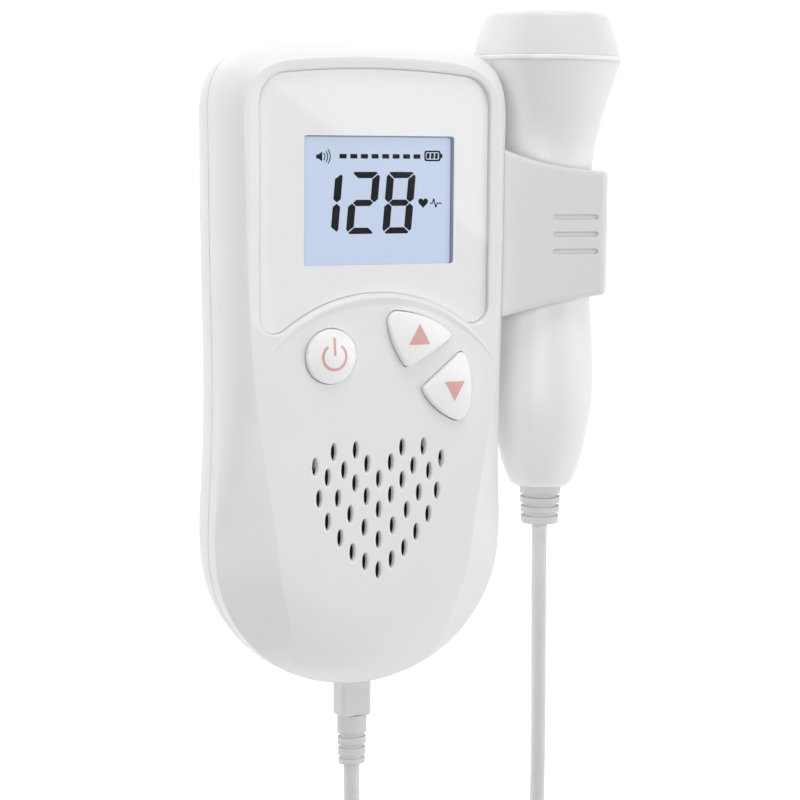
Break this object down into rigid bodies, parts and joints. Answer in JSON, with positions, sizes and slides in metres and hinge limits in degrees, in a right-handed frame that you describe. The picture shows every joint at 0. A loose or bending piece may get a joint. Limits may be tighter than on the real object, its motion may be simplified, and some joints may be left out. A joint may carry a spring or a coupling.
{
  "type": "fetal doppler monitor",
  "caption": "Handheld heart-rate monitor with a window display, round and petal buttons, a heart-shaped grille, and a probe in a side clip with its lead.",
  "frame": {"origin": "middle of the flat back, on the handset's own mid plane, with the handset lying on its back", "axes": "+Z out of the display face, +Y towards the top of the handset and the probe's sensing head, +X towards the probe"},
  "size_m": [0.1063, 0.2525, 0.0364],
  "materials": {
    "shell_front": "satin white moulded plastic",
    "shell_rear": "satin white moulded plastic",
    "door": "satin white moulded plastic",
    "lens": "clear glossy acrylic window",
    "lens_print": "white print under the window",
    "lcd": "liquid crystal display, pale blue",
    "backlight": "white diffuser block lit blue",
    "lcd_frame": "black clip frame",
    "board": "green solder mask",
    "components": "black packages",
    "switch": "black switch housings",
    "switch_stem": "tan switch plungers",
    "button": "smooth white buttons with pink signs",
    "speaker_frame": "pressed steel basket",
    "speaker_cone": "dark speaker cone",
    "speaker_magnet": "plated magnet cup",
    "speaker_cloth": "thin black dust cloth",
    "cell": "printed sleeve, bare ends",
    "spring": "nickel plated wire",
    "contact": "nickel plated strip",
    "screw": "zinc plated",
    "holder": "satin white moulded plastic",
    "probe_shell": "satin white moulded plastic",
    "probe_ring": "smooth white trim ring",
    "probe_cap": "satin white moulded plastic",
    "probe_face": "smooth off-white sensing face",
    "ceramic": "silvered ceramic discs",
    "backing": "cork-filled epoxy",
    "relief": "soft white strain relief",
    "socket": "black socket body",
    "plug": "soft white moulded plug",
    "plug_shell": "nickel plated shell",
    "cord": "soft white cord jacket",
    "tie": "soft white strap"
  },
  "bodies": {
    "handset": {"front_cover": "shell_front", "rear_cover": "shell_rear", "display_lens": "lens", "lens_print": "lens_print", "lcd_glass": "lcd", "lcd_backlight": "backlight", "lcd_frame": "lcd_frame", "main_board": "board", "board_parts": "components", "tact_switches": "switch", "speaker_frame": "speaker_frame", "speaker_cone": "speaker_cone", "speaker_magnet": "speaker_magnet", "speaker_cloth": "speaker_cloth", "cells": "cell", "cell_springs": "spring", "cell_contacts": "contact", "case_screws": "screw", "board_screws": "screw", "probe_holder": "holder", "holder_screws": "screw", "plug_socket": "socket", "plug_body": "plug", "plug_shell": "plug_shell", "plug_relief": "relief", "cord_probe_run": "cord", "cord_plug_run": "cord", "cord_coil": "cord", "cord_tie": "tie"},
    "battery_door": {"battery_door": "door"},
    "power_button": {"power_button": "button", "power_stem": "switch_stem"},
    "volume_up": {"volume_up_button": "button", "volume_up_stem": "switch_stem"},
    "volume_down": {"volume_down_button": "button", "volume_down_stem": "switch_stem"},
    "probe": {"probe_shell": "probe_shell", "probe_ring": "probe_ring", "probe_cap": "probe_cap", "probe_face": "probe_face", "transducer_discs": "ceramic", "transducer_backing": "backing", "probe_board": "board", "probe_relief": "relief"}
  },
  "joints": [
    {"name": "power_press", "type": "slide", "parent": "handset", "child": "power_button", "axis": [0, 0, -1], "range_m": [0, 0.0006], "stiffness_N_per_m": 2000},
    {"name": "volume_up_press", "type": "slide", "parent": "handset", "child": "volume_up", "axis": [0, 0, -1], "range_m": [0, 0.0006], "stiffness_N_per_m": 2000},
    {"name": "volume_down_press", "type": "slide", "parent": "handset", "child": "volume_down", "axis": [0, 0, -1], "range_m": [0, 0.0006], "stiffness_N_per_m": 2000},
    {"name": "door_slide", "type": "slide", "parent": "handset", "child": "battery_door", "axis": [0, -1, 0], "range_m": [0, 0.046]},
    {"name": "probe_lift", "type": "slide", "parent": "handset", "child": "probe", "axis": [0, 1, 0], "range_m": [0, 0.1]}
  ]
}
